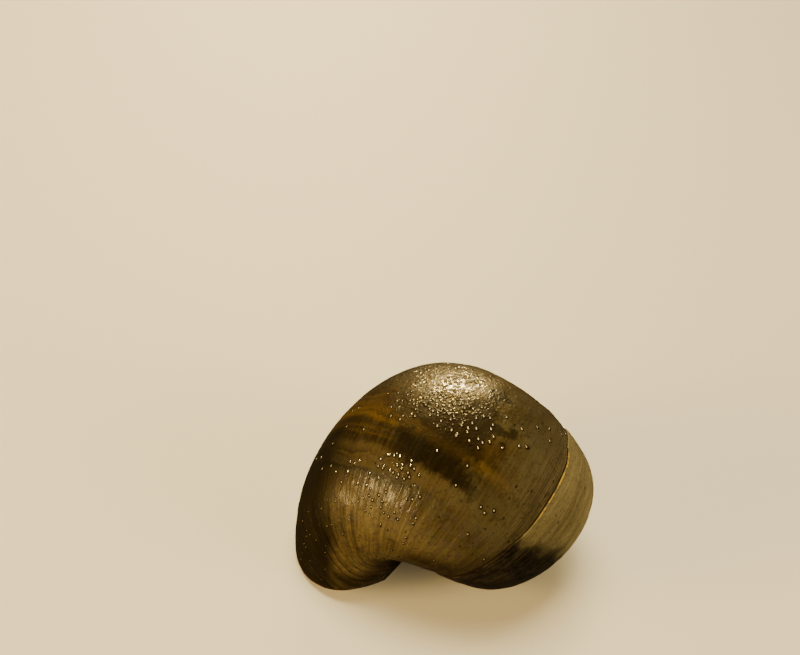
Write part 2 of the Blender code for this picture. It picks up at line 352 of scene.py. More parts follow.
@dataclass(frozen=True)
class Loft:
    """A closed mesh through rings of the same count, drawn to a point at each end."""

    name: str
    rings: Array
    first: Array
    last: Array

    def faces(self) -> list[tuple[int, ...]]:
        """The quads between the rings and the triangles at the two ends.

        Returns:
            The faces, each as the numbers of its points.
        """
        rows, count = self.rings.shape[:2]
        here = np.arange(count)
        after = np.roll(here, -1)
        base = (np.arange(rows - 1) * count)[:, None]
        quads = np.stack([base + here, base + after, base + count + after, base + count + here], -1)
        first, last = rows * count, rows * count + 1
        end = (rows - 1) * count
        fans = [(first, int(b), int(a)) for a, b in zip(here, after)]
        fans += [(last, int(end + a), int(end + b)) for a, b in zip(here, after)]
        return [*map(tuple, quads.reshape(-1, 4).tolist()), *fans]

    def build(self, tracks: dict[Track, Array] | None = None) -> bpy.types.Object:
        """Make the mesh.

        Args:
            tracks: What to keep at each point of the rings.

        Returns:
            The new object, smooth shaded, with its faces turned outwards.
        """
        points = np.concatenate([self.rings.reshape(-1, 3), self.first[None], self.last[None]])
        mesh = bpy.data.meshes.new(self.name)
        mesh.from_pydata(points.tolist(), [], self.faces())
        for track, values in (tracks or {}).items():
            kept = mesh.attributes.new(track.value, "FLOAT", "POINT")
            ends = [values[0].mean(), values[-1].mean()]
            kept.data.foreach_set("value", np.concatenate([values.ravel(), ends]).astype(np.float32))
        mesh.validate()
        if signed_volume(points, self.rings.shape[1], self.rings.shape[0]) < 0:
            mesh.flip_normals()
        mesh.shade_smooth()
        made = bpy.data.objects.new(self.name, mesh)
        bpy.context.scene.collection.objects.link(made)
        return made


def signed_volume(points: Array, count: int, rows: int) -> float:
    """The volume that a loft's quads close in, below 0 where they face inwards.

    Args:
        points: The loft's points, ring after ring.
        count: The points in a ring.
        rows: The number of rings.

    Returns:
        The volume, to scale only.
    """
    grid = points[: count * rows].reshape(rows, count, 3)
    middle = grid.mean((0, 1))
    a, b = grid[:-1] - middle, np.roll(grid, -1, 1)[:-1] - middle
    c, d = np.roll(grid, -1, 1)[1:] - middle, grid[1:] - middle
    return float((np.cross(a, b) * c).sum() + (np.cross(a, c) * d).sum())


class NodePen:
    """Lays down a material's nodes, and links a socket wherever a number may stand."""

    def __init__(self, name: str) -> None:
        """Start a material with one Principled shader.

        Args:
            name: The material's name.
        """
        self.material = bpy.data.materials.new(name)
        self.material.use_nodes = True
        self.tree = self.material.node_tree
        self.shader = self.tree.nodes["Principled BSDF"]

    def feed(self, socket: Socket, value: Value | tuple) -> None:
        """Link a socket to another, or set its number or colour."""
        if isinstance(value, bpy.types.NodeSocket):
            self.tree.links.new(value, socket)
        else:
            socket.default_value = value

    def node(self, kind: str, settings: dict | None = None, **inputs: Value | tuple) -> bpy.types.Node:
        """Add a node.

        Args:
            kind: The node's type.
            settings: The node's own settings.
            inputs: Its inputs by name, with _ for a space.

        Returns:
            The node.
        """
        made = self.tree.nodes.new(kind)
        for key, value in (settings or {}).items():
            setattr(made, key, value)
        for key, value in inputs.items():
            self.feed(made.inputs[key.replace("_", " ")], value)
        return made

    def track(self, track: Track) -> Socket:
        """What the mesh keeps on a track."""
        return self.node("ShaderNodeAttribute", {"attribute_name": track.value}).outputs["Fac"]

    def place(self) -> Socket:
        """The place on the object, in metres."""
        return self.node("ShaderNodeTexCoord").outputs["Object"]

    def math(self, operation: str, first: Value, second: Value = 0.0) -> Socket:
        """One step of arithmetic.

        Args:
            operation: Its name.
            first: What it starts from.
            second: The other number, where it takes one.

        Returns:
            The result.
        """
        made = self.node("ShaderNodeMath", {"operation": operation})
        for socket, value in zip(made.inputs, (first, second)):
            self.feed(socket, value)
        return made.outputs[0]

    def times(self, *factors: Value) -> Socket:
        """The product of its factors.

        Args:
            factors: Two or more.

        Returns:
            The product.
        """
        product = factors[0]
        for factor in factors[1:]:
            product = self.math("MULTIPLY", product, factor)
        return product

    def plus(self, *terms: Value) -> Socket:
        """The sum of its terms.

        Args:
            terms: Two or more.

        Returns:
            The sum.
        """
        total = terms[0]
        for term in terms[1:]:
            total = self.math("ADD", total, term)
        return total

    def most(self, *values: Value) -> Socket:
        """The greatest of its values.

        Args:
            values: Two or more.

        Returns:
            The greatest.
        """
        greatest = values[0]
        for value in values[1:]:
            greatest = self.math("MAXIMUM", greatest, value)
        return greatest

    def swing(self, noise: Value, reach: float) -> Socket:
        """A noise moved to swing about 0, and stretched."""
        return self.times(self.math("SUBTRACT", noise, 0.5), reach)

    def ease(self, value: Value, low: float, high: float, start: float = 0.0, end: float = 1.0) -> Socket:
        """A soft step of a value from start, at low, to end, at high.

        Args:
            value: The value.
            low: Where the step starts.
            high: Where it ends.
            start: The result up to low.
            end: The result from high.

        Returns:
            The result.
        """
        made = self.node("ShaderNodeMapRange", {"interpolation_type": "SMOOTHSTEP"})
        names = ("Value", "From Min", "From Max", "To Min", "To Max")
        for key, number in zip(names, (value, low, high, start, end)):
            self.feed(made.inputs[key], number)
        return made.outputs[0]

    def window(self, value: Value, low: float, high: float, soft: float) -> Socket:
        """1 between low and high, and 0 a soft distance outside them."""
        return self.times(self.ease(value, low - soft, low), self.ease(value, high + soft, high))

    def mix(self, share: Value, first: Value | tuple, second: Value | tuple) -> Socket:
        """A blend of two colours.

        Args:
            share: How much of the second shows.
            first: The first colour.
            second: The second colour.

        Returns:
            The blend.
        """
        made = self.node("ShaderNodeMix", {"data_type": "RGBA"})
        colours = [socket for socket in made.inputs if socket.type == "RGBA"]
        self.feed(made.inputs[0], share)
        self.feed(colours[0], first)
        self.feed(colours[1], second)
        return next(socket for socket in made.outputs if socket.type == "RGBA")

    def layers(self, colour: Socket, *coats: tuple[Value, Value | tuple]) -> Socket:
        """Lay coats of colour over one another, in order.

        Args:
            colour: The colour under them.
            coats: How much of each coat shows, and its tone.

        Returns:
            The colour.
        """
        for share, tone in coats:
            colour = self.mix(share, colour, tone)
        return colour

    def ramp(self, value: Value, stops: tuple[tuple[float, tuple], ...]) -> Socket:
        """A run of colours over 0 to 1.

        Args:
            value: Where on the run.
            stops: Places and their colours, in order.

        Returns:
            The colour.
        """
        made = self.node("ShaderNodeValToRGB", Fac=value)
        made.color_ramp.interpolation = "EASE"
        elements = made.color_ramp.elements
        while len(elements) < len(stops):
            elements.new(1.0)
        for element, (spot, colour) in zip(elements, stops):
            element.position = spot
            element.color = colour
        return made.outputs["Color"]

    def vector(self, x: Value, y: Value, z: Value = 0.0) -> Socket:
        """A vector from three values."""
        return self.node("ShaderNodeCombineXYZ", X=x, Y=y, Z=z).outputs[0]

    def noise(self, where: Socket, scale: float, detail: float = 2.0, roughness: float = 0.5) -> Socket:
        """Soft noise, about 0.3 to 0.7.

        Args:
            where: The place to read it at.
            scale: Cells in a unit of length.
            detail: Finer layers.
            roughness: How strong the finer layers are.

        Returns:
            The value.
        """
        made = self.node("ShaderNodeTexNoise", Vector=where, Scale=scale, Detail=detail, Roughness=roughness)
        return made.outputs["Fac"]

    def cells(self, where: Socket, scale: float) -> Socket:
        """The distance to the nearest of scattered cells."""
        return self.node("ShaderNodeTexVoronoi", Vector=where, Scale=scale).outputs["Distance"]

    def scattered(self, where: Socket, scale: float, rare: Value, space: str = "3D") -> tuple[Socket, Socket]:
        """Cells scattered at random, of which only some are held.

        Args:
            where: The place to read them at.
            scale: Cells in a unit of length.
            rare: The share of cells that stay empty.
            space: How many dimensions they are scattered in.

        Returns:
            The distance to the nearest cell's middle, and 1 where that cell is held.
        """
        made = self.node("ShaderNodeTexVoronoi", {"voronoi_dimensions": space}, Vector=where, Scale=scale)
        pick = self.node("ShaderNodeSeparateColor", Color=made.outputs["Color"]).outputs[0]
        return made.outputs["Distance"], self.math("GREATER_THAN", pick, rare)

    def relief(self, height: Value, distance: float, strength: float, under: Socket | None = None) -> Socket:
        """Turn the surface by a height, over another relief.

        Args:
            height: The height, 0 to 1.
            distance: How far 1 stands up.
            strength: How much of it shows.
            under: A relief that lies under this one.

        Returns:
            The turned normal.
        """
        made = self.node("ShaderNodeBump", Height=height, Distance=distance, Strength=strength)
        if under is not None:
            self.feed(made.inputs["Normal"], under)
        return made.outputs["Normal"]

    def finish(self, **sockets: Value | tuple) -> bpy.types.Material:
        """Set the shader's sockets, by name with _ for a space, and give the material."""
        for key, value in sockets.items():
            self.feed(self.shader.inputs[key.replace("_", " ")], value)
        return self.material


@dataclass(frozen=True)
class Lie:
    """Where each point of the shell lies, and the noises that the coats of its skin share."""

    turn: Socket
    around: Socket
    growth: Socket
    seam: Socket
    since: Socket
    place: Socket
    along: Socket
    streak: Socket
    mottle: Socket
    patch: Socket
    swayed: Socket
    lineate: Socket


@dataclass(frozen=True)
class Periostracum:
    """The wet horny skin of the shell: olive brown, banded round the whorl and lined by growth."""

    old_lip: OldLip
    suture_tone: tuple = screen(74, 58, 26)
    shoulder_tone: tuple = screen(68, 53, 20)
    side_tone: tuple = screen(56, 37, 2)
    honey_tone: tuple = screen(84, 60, 8)
    band_tone: tuple = screen(32, 21, 1)
    olive_tone: tuple = screen(68, 54, 25)
    slate_tone: tuple = screen(52, 47, 27)
    lower_tone: tuple = screen(102, 86, 50)
    low_tone: tuple = screen(105, 88, 50)
    base_tone: tuple = screen(40, 27, 8)
    under_tone: tuple = screen(122, 102, 58)
    navel_tone: tuple = screen(36, 24, 9)
    mature_tone: tuple = screen(66, 53, 27)
    late_tone: tuple = screen(112, 94, 56)
    older_tone: tuple = screen(130, 112, 66)
    oldest_tone: tuple = screen(176, 154, 96)
    older_low_shade_tone: tuple = screen(20, 13, 8)
    inner_whorl_tone: tuple = screen(96, 68, 22)
    spire_tone: tuple = screen(104, 66, 18)
    spire_seam_tone: tuple = screen(100, 90, 52)
    dark_tone: tuple = screen(16, 10, 1)
    moss_tone: tuple = screen(80, 71, 42)
    plum_tone: tuple = screen(70, 56, 46)
    gold_tone: tuple = screen(108, 78, 10)
    bead_glint_tone: tuple = screen(226, 204, 140)
    amber_tone: tuple = screen(188, 144, 44)
    rust_tone: tuple = screen(60, 30, 6)
    worn_tone: tuple = screen(52, 48, 40)
    chalk_tone: tuple = screen(150, 142, 120)

    def since_lip(self, pen: NodePen, turn: Socket, around: Socket) -> Socket:
        """How far each point was grown after the old lip, a turn angle.

        Args:
            pen: The material's pen.
            turn: Turn angles.
            around: Section angles.

        Returns:
            Turn angles, below 0 on the older shell.
        """
        top = pen.ease(around, *self.old_lip.top_span, 0.0, self.old_lip.top_lead)
        bottom = pen.ease(around, *self.old_lip.bottom_span, 0.0, self.old_lip.bottom_lead)
        return pen.math("SUBTRACT", turn, pen.plus(top, bottom, self.old_lip.turn))

    def read(self, pen: NodePen) -> Lie:
        """Read the mesh's tracks, and lay the shared noises over them.

        Args:
            pen: The material's pen.

        Returns:
            What the coats read.
        """
        turn, around, growth, seam = (pen.track(track) for track in Track)
        place = pen.place()
        along = pen.vector(growth, pen.times(around, 0.0014))
        streak = pen.noise(along, 900, 4.0, 0.66)
        patch = pen.noise(place, 140, 3.0, 0.55)
        lined = pen.most(pen.ease(around, -0.25, -0.65), pen.ease(turn, -2.45, -2.75))
        return Lie(
            turn=turn,
            around=around,
            growth=growth,
            seam=seam,
            since=self.since_lip(pen, turn, around),
            place=place,
            along=along,
            streak=streak,
            mottle=pen.noise(place, 420, 4.0, 0.6),
            patch=patch,
            swayed=pen.plus(around, pen.swing(streak, 0.10), pen.swing(patch, 0.12)),
            lineate=pen.ease(lined, 0.0, 1.0, 0.12, 0.85),
        )

    def around_run(self, pen: NodePen, lie: Lie) -> Socket:
        """The tones round the newest whorl, from its suture to its base.

        Args:
            pen: The material's pen.
            lie: Where each point lies.

        Returns:
            The colour.
        """
        top, bottom = 1.8, -3.4
        stops = (
            (1.75, self.suture_tone),
            (1.15, self.suture_tone),
            (0.85, self.shoulder_tone),
            (0.40, self.shoulder_tone),
            (0.24, self.side_tone),
            (0.10, self.side_tone),
            (0.02, self.honey_tone),
            (-0.09, self.band_tone),
            (-0.23, self.band_tone),
            (-0.33, self.olive_tone),
            (-0.60, self.olive_tone),
            (-1.00, self.lower_tone),
            (-1.38, self.low_tone),
            (-1.90, self.under_tone),
            (-2.30, self.navel_tone),
        )
        share = pen.times(pen.math("SUBTRACT", top, lie.swayed), 1 / (top - bottom))
        return pen.ramp(share, tuple(((top - spot) / (top - bottom), tone) for spot, tone in stops))

    def aged(self, pen: NodePen, lie: Lie, colour: Socket) -> Socket:
        """The tones' change from the newest shell back to the apex.

        Args:
            pen: The material's pen.
            lie: Where each point lies.
            colour: The newest whorl's tones.

        Returns:
            The colour.
        """
        turn, around = lie.turn, lie.swayed
        slate = pen.times(pen.window(around, -0.56, -0.48, 0.07), pen.ease(turn, -2.5, -1.5, 0.1, 0.85))
        mature = pen.times(pen.ease(turn, -2.0, -2.6), pen.ease(around, -0.75, -0.35), 0.85)
        late = pen.times(pen.ease(lie.since, 0.45, 0.02), pen.ease(around, -1.0, -0.3), 0.5)
        # Painted shade: the lower side grows dark towards the base, below a slanting line.
        slanting = pen.plus(around, pen.times(turn, 0.6))
        under = pen.times(pen.ease(turn, -1.75, -2.25), pen.ease(slanting, -2.30, -2.64), 0.88)
        beside = pen.times(pen.ease(lie.seam, 3.4 * MM, 1.2 * MM), pen.ease(turn, -4.5, -7.5), 0.75)
        return pen.layers(
            colour,
            (slate, self.slate_tone),
            (mature, self.mature_tone),
            (late, self.late_tone),
            (under, self.base_tone),
            (pen.ease(lie.since, 0.004, -0.004), self.older(pen, lie)),
            (pen.ease(turn, -8.5, -12.5, 0.0, 0.85), self.spire_tone),
            (beside, self.spire_seam_tone),
        )

    def older(self, pen: NodePen, lie: Lie) -> Socket:
        """The tones of the shell before the old lip: pale above, and dark round its base, which is painted
        shade.

        Args:
            pen: The material's pen.
            lie: Where each point lies.

        Returns:
            The colour.
        """
        turn, around = lie.turn, lie.swayed
        cloud = pen.swing(pen.noise(lie.place, 230, 4.0, 0.6), 0.5)
        sloped = pen.plus(around, pen.times(pen.ease(turn, -3.5, -2.9), 0.28), cloud)
        pale = pen.mix(pen.ease(turn, -3.1, -3.6), self.older_tone, self.oldest_tone)
        # Painted shade over the lower half of the older shell.
        dark = pen.mix(pen.ease(turn, -3.5, -4.3), self.older_low_shade_tone, self.base_tone)
        inner = pen.ease(turn, -3.9, -5.4)
        return pen.layers(
            pale,
            (pen.ease(sloped, 0.20, -0.08), dark),
            (inner, self.inner_whorl_tone),
            (pen.times(inner, pen.ease(around, -0.4, -1.0)), self.low_tone),
        )

    def lined(self, pen: NodePen, lie: Lie, colour: Socket) -> Socket:
        """Draw the growth lines, clearest under the side and on the older shell.

        Args:
            pen: The material's pen.
            lie: Where each point lies.
            colour: The colour so far.

        Returns:
            The colour.
        """
        broad = pen.noise(lie.along, 210, 3.0, 0.55)
        return pen.layers(
            colour,
            (pen.ease(broad, 0.50, 0.74, 0.0, 0.12), self.base_tone),
            (pen.times(pen.ease(lie.streak, 0.44, 0.64), lie.lineate, 0.45), self.band_tone),
            (pen.times(pen.ease(lie.streak, 0.44, 0.28), lie.lineate, lie.lineate, 0.22), self.older_tone),
        )

    def mottled(self, pen: NodePen, lie: Lie, colour: Socket) -> Socket:
        """Mottle and speckle the skin, most after the old lip.

        Args:
            pen: The material's pen.
            lie: Where each point lies.
            colour: The colour so far.

        Returns:
            The colour.
        """
        newest = pen.ease(lie.since, -0.004, 0.004, 0.25, 1.0)
        moss = pen.ease(pen.noise(lie.place, 190, 5.0, 0.65), 0.44, 0.62)
        plum = pen.ease(pen.noise(lie.place, 620, 3.0, 0.65), 0.48, 0.62, 0.0, 0.42)
        fine = pen.noise(pen.vector(lie.growth, pen.times(lie.around, 0.0009)), 2100, 3.0, 0.6)
        speck = pen.noise(lie.place, 1900, 2.0, 0.6)
        return pen.layers(
            colour,
            (pen.times(pen.ease(lie.patch, 0.52, 0.68, 0.0, 0.28), newest), self.band_tone),
            (pen.times(pen.ease(lie.mottle, 0.54, 0.70, 0.0, 0.45), newest), self.dark_tone),
            (pen.times(moss, pen.ease(lie.turn, -1.9, -2.3, 0.0, 0.42), newest), self.moss_tone),
            (pen.times(plum, pen.ease(lie.around, -0.2, -0.6, 0.15, 1.0)), self.plum_tone),
            (pen.times(pen.ease(fine, 0.47, 0.62), pen.ease(newest, 1.0, 0.3, 0.12, 0.34)), self.low_tone),
            (pen.ease(speck, 0.56, 0.68, 0.0, 0.35), self.dark_tone),
        )

    def streaked(self, pen: NodePen, lie: Lie, dashes: Socket, colour: Socket) -> Socket:
        """Draw the spiral streaks by the dark band, the short pits, and the bold streaks of the base.

        Args:
            pen: The material's pen.
            lie: Where each point lies.
            dashes: The short pits.
            colour: The colour so far.

        Returns:
            The colour.
        """
        spiral = pen.noise(pen.vector(pen.times(lie.turn, 0.035), lie.swayed), 16, 3.0, 0.6)
        spirals = pen.times(pen.ease(lie.turn, -1.75, -1.35), pen.window(lie.around, -0.50, 0.25, 0.20))
        bold = pen.times(pen.ease(lie.turn, -1.7, -1.2), pen.ease(lie.around, -0.75, -1.05))
        streak = pen.ease(pen.noise(lie.along, 520, 3.0, 0.6), 0.47, 0.60)
        return pen.layers(
            colour,
            (pen.times(pen.ease(spiral, 0.50, 0.64), spirals, 0.55), self.dark_tone),
            (pen.times(pen.ease(spiral, 0.48, 0.34), spirals, 0.25), self.gold_tone),
            (pen.times(dashes, 0.8), self.dark_tone),
            (pen.times(streak, bold, 0.6), self.dark_tone),
        )

    def patched_and_shaded(self, pen: NodePen, lie: Lie, colour: Socket) -> Socket:
        """Darken the skin in ragged patches: a dark patch on the side, and painted shade on the shoulder,
        under the highlight and all behind the lip.

        Args:
            pen: The material's pen.
            lie: Where each point lies.
            colour: The colour so far.

        Returns:
            The colour.
        """
        turn, around = lie.turn, lie.swayed
        ragged = pen.noise(lie.place, 200, 4.0, 0.65)
        along = pen.plus(turn, pen.swing(ragged, 1.1))
        across = pen.plus(around, pen.swing(ragged, 0.8))
        slid = pen.plus(around, pen.times(pen.plus(turn, 1.2), 0.5))
        # The first patch is a dark patch on the side. The rest is painted shade: a painted dark reflection on
        # the shoulder, painted shade under the highlight, on the top left and along the upper edge, and a
        # painted shadow all behind the lip.
        patch_and_shade = pen.most(
            pen.times(pen.window(along, -2.10, -1.70, 0.25), pen.window(across, -0.22, 0.26, 0.12), 0.75),
            pen.times(pen.window(along, -2.15, -1.95, 0.12), pen.window(across, 0.30, 0.80, 0.18), 0.75),
            pen.times(pen.window(along, -1.75, -1.42, 0.20), pen.window(across, 0.12, 0.28, 0.08), 0.55),
            pen.times(pen.ease(turn, -1.60, -1.15), pen.window(around, 0.30, 1.40, 0.15), 0.50),
            pen.times(pen.window(turn, -2.70, -2.10, 0.20), pen.ease(around, 0.45, 0.75), 0.22),
            pen.times(pen.ease(turn, -1.40, -0.90), pen.window(slid, -1.20, -0.12, 0.30), 0.92),
            pen.ease(turn, -0.75, -0.30, 0.0, 0.75),
        )
        return pen.mix(patch_and_shade, colour, self.dark_tone)

    def marks(self, pen: NodePen, lie: Lie) -> tuple[Socket, Socket, Socket]:
        """The lines of the old lip, and of the crowded growth that followed it.

        Args:
            pen: The material's pen.
            lie: Where each point lies.

        Returns:
            How much each point has of the amber edge, of the painted shadow in the groove beside it and of
            crowded lines.
        """
        since, around = lie.since, lie.around
        broken = pen.ease(pen.noise(lie.place, 700, 2.0), 0.41, 0.55)
        stretch = pen.window(around, 0.20, 0.72, 0.30)
        amber = pen.times(pen.window(since, -0.012, -0.003, 0.003), stretch, broken)
        # Painted shadow: a thin dark line in the groove just after the old lip's step.
        groove_shade = pen.times(pen.window(since, 0.001, 0.006, 0.005), pen.ease(around, -2.0, -1.2))
        wave = pen.ease(pen.math("SINE", pen.times(since, TURN / 0.024)), -0.2, 0.9)
        crowd = pen.times(pen.window(since, 0.01, 0.12, 0.10), wave, pen.ease(around, -1.6, -1.0))
        return amber, groove_shade, crowd

    def wetness(self, pen: NodePen, lie: Lie) -> Socket:
        """How glossy the skin is: most on the newest shell, and dull in a band below the shoulder and behind
        the lip.

        Args:
            pen: The material's pen.
            lie: Where each point lies.

        Returns:
            The gloss, 0 to 1.
        """
        turn, around = lie.turn, lie.around
        ragged = pen.swing(pen.noise(lie.place, 260, 3.0), 0.35)
        reach = pen.plus(turn, pen.ease(around, 0.1, -0.4, 0.0, 0.10), ragged)
        edge = pen.plus(around, pen.times(ragged, 0.6))
        dry = pen.most(
            pen.times(pen.ease(turn, -1.35, -1.00), pen.window(around, -1.20, 0.0, 0.30)),
            pen.times(pen.ease(turn, -1.50, -1.20), pen.ease(around, 0.20, 0.40), 0.7),
            pen.times(pen.window(edge, 0.00, 0.27, 0.06), pen.window(turn, -2.00, -1.35, 0.15), 0.9),
        )
        return pen.times(pen.ease(reach, -1.95, -1.80), pen.ease(dry, 0.0, 1.0, 1.0, 0.2))

    def blisters(self, pen: NodePen, lie: Lie) -> tuple[Socket, Socket]:
        """Small round blisters of the skin, crowded in three places on the newest whorl.

        Args:
            pen: The material's pen.
            lie: Where each point lies.

        Returns:
            The blisters' height, and how much each point lies on the ring round one, which is darkened as
            painted shade.
        """
        turn, around = lie.turn, lie.around
        crowded = pen.most(
            pen.times(pen.window(turn, -2.02, -1.50, 0.28), pen.window(around, 0.16, 0.42, 0.16)),
            pen.times(pen.window(turn, -1.75, -1.30, 0.25), pen.window(around, -0.85, -0.40, 0.20), 0.35),
            pen.times(pen.window(turn, -1.86, -1.62, 0.10), pen.window(around, -0.44, -0.28, 0.06)),
        )
        rare = pen.math("SUBTRACT", 0.965, pen.times(crowded, 0.50))
        reach, held = pen.scattered(pen.vector(lie.growth, lie.seam), 780, rare, "2D")
        held = pen.times(held, pen.ease(turn, -2.95, -2.85))
        # The ring round each blister, later darkened as painted shade.
        rim = pen.window(reach, 0.22, 0.34, 0.06)
        return pen.times(pen.ease(reach, 0.30, 0.02), held), pen.times(rim, held)

    def roughened(self, pen: NodePen, lie: Lie, dashes: Socket, crowd: Socket, blister: Socket) -> Socket:
        """Raise the skin's fine relief.

        Args:
            pen: The material's pen.
            lie: Where each point lies.
            dashes: The short pits.
            crowd: The crowded lines after the old lip.
            blister: The blisters' height.

        Returns:
            The turned normal.
        """
        turn, around = lie.turn, lie.around
        shoulder = pen.plus(pen.times(pen.ease(around, 0.10, 0.42), pen.ease(turn, -2.15, -1.9), 0.7), 0.3)
        grain = pen.times(pen.noise(lie.place, 1150, 3.0, 0.6), shoulder)
        pebbled = pen.times(pen.ease(turn, -1.35, -0.95, 1.0, 0.2), pen.ease(around, 1.0, 1.4, 1.0, 0.3))
        pebbled = pen.times(pebbled, pen.ease(lie.patch, 0.36, 0.56))
        pebbles = pen.times(pen.ease(pen.cells(lie.place, 1400), 0.62, 0.0), shoulder, pebbled)
        lines = pen.times(lie.streak, pen.ease(lie.lineate, 0.12, 0.7, 0.25, 1.0))
        normal = None
        for height, distance, strength in (
            (lines, 0.26 * MM, 0.9),
            (crowd, 0.05 * MM, 0.6),
            (lie.mottle, 0.24 * MM, 0.5),
            (dashes, -0.08 * MM, 0.6),
            (grain, 0.14 * MM, 0.8),
            (pebbles, 0.18 * MM, 0.9),
            (blister, 0.40 * MM, 1.0),
        ):
            normal = pen.relief(height, distance, strength, normal)
        return normal

    def film(self, pen: NodePen, lie: Lie, blister: Socket, worn: Socket) -> Socket:
        """The wet film over the skin, broken into flecks and whole on each blister.

        Args:
            pen: The material's pen.
            lie: Where each point lies.
            blister: The blisters' height.
            worn: How much the apex is worn.

        Returns:
            The film's weight.
        """
        broken = pen.ease(pen.noise(lie.place, 300, 3.0, 0.6), 0.40, 0.54)
        broken = pen.times(broken, pen.ease(lie.streak, 0.62, 0.46))
        bead = pen.ease(blister, 0.0, 0.2)
        wet = pen.most(pen.times(self.wetness(pen, lie), pen.ease(broken, 0.0, 1.0, 0.2, 1.0)), bead)
        above = pen.ease(lie.around, -0.10, 0.15)
        spotted = pen.times(pen.noise(lie.place, 1050, 3.0, 0.65), above)
        drawn = pen.noise(pen.vector(lie.growth, pen.times(lie.around, 0.0042)), 1300, 4.0, 0.6)
        flecks = pen.plus(spotted, pen.times(drawn, pen.math("SUBTRACT", 1.0, above)))
        flecks = pen.most(pen.ease(flecks, 0.43, 0.56, 0.04, 1.0), bead)
        weight = pen.times(pen.ease(wet, 0.0, 1.0, 0.16, 1.0), flecks)
        return pen.math("SUBTRACT", weight, pen.times(worn, 0.15))

    def material(self) -> bpy.types.Material:
        """Make the finish.

        Returns:
            The material.
        """
        pen = NodePen("periostracum")
        lie = self.read(pen)
        pit, pitted = pen.scattered(pen.vector(lie.growth, pen.times(lie.around, 0.013)), 620, 0.72)
        dashes = pen.times(pen.ease(pit, 0.22, 0.055), pitted)
        amber, groove_shade, crowd = self.marks(pen, lie)
        blister, rim = self.blisters(pen, lie)
        worn = pen.ease(pen.plus(lie.turn, pen.times(lie.mottle, 5.0)), -14.4, -16.2)
        chalk = pen.ease(pen.noise(lie.place, 1500, 4.0), 0.48, 0.66)

        colour = self.aged(pen, lie, self.around_run(pen, lie))
        colour = self.mottled(pen, lie, self.lined(pen, lie, colour))
        colour = self.patched_and_shaded(pen, lie, self.streaked(pen, lie, dashes, colour))
        colour = pen.layers(
            colour,
            (pen.times(amber, 0.9), self.amber_tone),
            # Painted shadow in the groove after the old lip.
            (pen.times(groove_shade, 0.8), self.dark_tone),
            (pen.times(crowd, 0.22), self.dark_tone),
            (pen.times(pen.ease(lie.turn, -0.06, -0.015), 0.8), self.rust_tone),
            # Painted shade: a dark ring round each blister.
            (pen.times(rim, 0.75), self.dark_tone),
            # Painted highlight: a pale glint in the middle of each blister.
            (pen.ease(blister, 0.55, 0.85, 0.0, 0.85), self.bead_glint_tone),
            (pen.times(worn, 0.9), self.worn_tone),
            (pen.times(worn, chalk, 0.4), self.chalk_tone),
            # Darker along the sutures: dirt in the crease, and painted shade there too.
            (pen.times(pen.ease(lie.seam, 0.40 * MM, 0.08 * MM), 0.85), self.dark_tone),
        )
        normal = self.roughened(pen, lie, dashes, crowd, blister)
        return pen.finish(
            Base_Color=colour,
            Roughness=pen.plus(pen.ease(lie.mottle, 0.35, 0.65, 0.36, 0.48), pen.times(worn, 0.2)),
            Specular_IOR_Level=0.08,
            Coat_Weight=self.film(pen, lie, blister, worn),
            Coat_Roughness=0.06,
            Coat_IOR=1.4,
            Normal=normal,
            Coat_Normal=normal,
        )


@dataclass(frozen=True)
class Porcelain:
    """The smooth inner face of the shell, brown behind the lip and pale on the callus."""

    lip_tone: tuple = screen(140, 62, 14)
    deep_tone: tuple = screen(96, 62, 30)
    callus_tone: tuple = screen(186, 156, 108)

    def material(self) -> bpy.types.Material:
        """Make the finish.

        Returns:
            The material.
        """
        pen = NodePen("inner_porcelain")
        turn, around = pen.track(Track.TURN), pen.track(Track.AROUND)
        place = pen.place()
        cloud = pen.noise(place, 260, 3.0, 0.55)
        colour = pen.mix(pen.ease(turn, -0.22, 0.0), self.deep_tone, self.lip_tone)
        colour = pen.mix(pen.ease(around, -2.2, -2.6), colour, self.callus_tone)
        colour = pen.mix(pen.ease(cloud, 0.42, 0.66, 0.0, 0.35), colour, self.deep_tone)
        normal = pen.relief(pen.noise(place, 700, 3.0), 0.08 * MM, 0.3)
        return pen.finish(
            Base_Color=colour,
            Roughness=pen.ease(cloud, 0.3, 0.7, 0.18, 0.32),
            Coat_Weight=0.5,
            Coat_Roughness=0.08,
            Normal=normal,
        )


@dataclass(frozen=True)
class Horn:
    """The operculum's horn: brown, lined by its own growth round its oldest point."""

    dark_tone: tuple = screen(58, 30, 12)
    light_tone: tuple = screen(150, 96, 42)
    rim_tone: tuple = screen(178, 126, 62)

    def material(self) -> bpy.types.Material:
        """Make the finish.

        Returns:
            The material.
        """
        pen = NodePen("operculum_horn")
        ring = pen.track(Track.GROWTH)
        place = pen.place()
        wander = pen.plus(ring, pen.times(pen.noise(place, 240, 2.0), 0.05))
        line = pen.noise(pen.vector(wander, 0.0), 26, 3.0, 0.6)
        colour = pen.mix(pen.ease(line, 0.38, 0.62), self.light_tone, self.dark_tone)
        colour = pen.mix(pen.ease(ring, 0.16, 0.03), colour, self.rim_tone)
        colour = pen.mix(pen.ease(pen.noise(place, 180, 3.0), 0.5, 0.7, 0.0, 0.5), colour, self.dark_tone)
        normal = pen.relief(line, 0.12 * MM, 0.6)
        normal = pen.relief(pen.noise(place, 1400, 3.0), 0.04 * MM, 0.4, normal)
        return pen.finish(
            Base_Color=colour,
            Roughness=pen.ease(line, 0.3, 0.7, 0.30, 0.45),
            Coat_Weight=0.3,
            Coat_Roughness=0.2,
            Normal=normal,
        )


